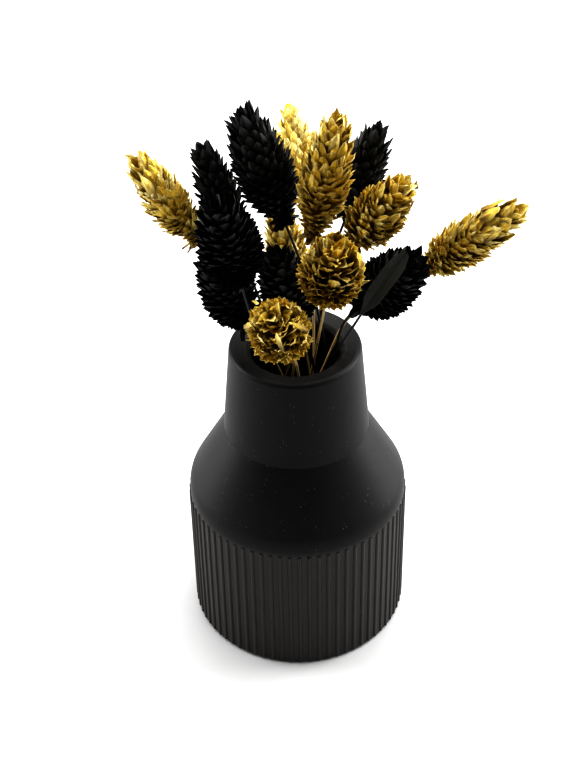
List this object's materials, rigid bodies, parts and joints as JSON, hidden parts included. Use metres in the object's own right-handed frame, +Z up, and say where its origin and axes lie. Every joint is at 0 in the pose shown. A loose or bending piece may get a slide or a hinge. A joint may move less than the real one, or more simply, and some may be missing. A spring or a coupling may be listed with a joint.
{
  "type": "bud vase",
  "caption": "Matte black bud vase with a ribbed base, a sloping shoulder and a wide flat rim, holding dried grass stems with gold and black seed heads that draw out.",
  "frame": {"origin": "centre of the foot, on the surface that the vase stands on", "axes": "+Z up along the axis of the vase; -Y towards the side over which the front stems lean"},
  "size_m": [0.1069, 0.1002, 0.1786],
  "materials": {
    "vase_ceramic": "matte",
    "gold_head": "satin",
    "black_head": "matte",
    "straw_stalk": "satin",
    "black_stalk": "matte",
    "black_leaf": "matte"
  },
  "bodies": {
    "vase": {"vase_body": "vase_ceramic"},
    "gold_stem_1": {"gold_stalk_1": "straw_stalk", "gold_head_1": "gold_head"},
    "gold_stem_2": {"gold_stalk_2": "straw_stalk", "gold_head_2": "gold_head"},
    "gold_stem_3": {"gold_stalk_3": "straw_stalk", "gold_head_3": "gold_head"},
    "gold_stem_4": {"gold_stalk_4": "straw_stalk", "gold_head_4": "gold_head"},
    "gold_stem_5": {"gold_stalk_5": "straw_stalk", "gold_head_5": "gold_head"},
    "gold_stem_6": {"gold_stalk_6": "straw_stalk", "gold_head_6": "gold_head"},
    "gold_stem_7": {"gold_stalk_7": "straw_stalk", "gold_head_7": "gold_head"},
    "gold_stem_8": {"gold_stalk_8": "straw_stalk", "gold_head_8": "gold_head"},
    "black_stem_1": {"black_stalk_1": "black_stalk", "black_head_1": "black_head"},
    "black_stem_2": {"black_stalk_2": "black_stalk", "black_head_2": "black_head"},
    "black_stem_3": {"black_stalk_3": "black_stalk", "black_head_3": "black_head"},
    "black_stem_4": {"black_stalk_4": "black_stalk", "black_head_4": "black_head"},
    "black_stem_5": {"black_stalk_5": "black_stalk", "black_head_5": "black_head"},
    "black_stem_6": {"black_stalk_6": "black_stalk", "black_head_6": "black_head", "leaf": "black_leaf"},
    "black_stem_7": {"black_stalk_7": "black_stalk", "black_head_7": "black_head"}
  },
  "joints": [
    {"name": "gold_stem_1_pull", "type": "slide", "parent": "vase", "child": "gold_stem_1", "axis": [-0.0926, -0.3425, 0.9349], "range_m": [0, 0.105]},
    {"name": "gold_stem_2_pull", "type": "slide", "parent": "vase", "child": "gold_stem_2", "axis": [0.135, -0.1832, 0.9738], "range_m": [0, 0.101]},
    {"name": "gold_stem_3_pull", "type": "slide", "parent": "vase", "child": "gold_stem_3", "axis": [-0.3327, -0.0277, 0.9426], "range_m": [0, 0.104]},
    {"name": "gold_stem_4_pull", "type": "slide", "parent": "vase", "child": "gold_stem_4", "axis": [0.2506, -0.0259, 0.9677], "range_m": [0, 0.102]},
    {"name": "gold_stem_5_pull", "type": "slide", "parent": "vase", "child": "gold_stem_5", "axis": [0.3502, 0.0718, 0.9339], "range_m": [0, 0.105]},
    {"name": "gold_stem_6_pull", "type": "slide", "parent": "vase", "child": "gold_stem_6", "axis": [0.0951, -0.0432, 0.9945], "range_m": [0, 0.099]},
    {"name": "gold_stem_7_pull", "type": "slide", "parent": "vase", "child": "gold_stem_7", "axis": [0.0078, 0.3185, 0.9479], "range_m": [0, 0.104]},
    {"name": "gold_stem_8_pull", "type": "slide", "parent": "vase", "child": "gold_stem_8", "axis": [-0.1499, 0.253, 0.9558], "range_m": [0, 0.103]},
    {"name": "black_stem_1_pull", "type": "slide", "parent": "vase", "child": "black_stem_1", "axis": [-0.0571, -0.3043, 0.9509], "range_m": [0, 0.104]},
    {"name": "black_stem_2_pull", "type": "slide", "parent": "vase", "child": "black_stem_2", "axis": [-0.2684, -0.0959, 0.9585], "range_m": [0, 0.103]},
    {"name": "black_stem_3_pull", "type": "slide", "parent": "vase", "child": "black_stem_3", "axis": [-0.1437, 0.249, 0.9578], "range_m": [0, 0.103]},
    {"name": "black_stem_4_pull", "type": "slide", "parent": "vase", "child": "black_stem_4", "axis": [-0.1787, 0.0447, 0.9829], "range_m": [0, 0.1]},
    {"name": "black_stem_5_pull", "type": "slide", "parent": "vase", "child": "black_stem_5", "axis": [-0.1471, -0.1275, 0.9809], "range_m": [0, 0.1]},
    {"name": "black_stem_6_pull", "type": "slide", "parent": "vase", "child": "black_stem_6", "axis": [0.1398, -0.2709, 0.9524], "range_m": [0, 0.103]},
    {"name": "black_stem_7_pull", "type": "slide", "parent": "vase", "child": "black_stem_7", "axis": [0.1188, 0.0255, 0.9926], "range_m": [0, 0.099]}
  ]
}
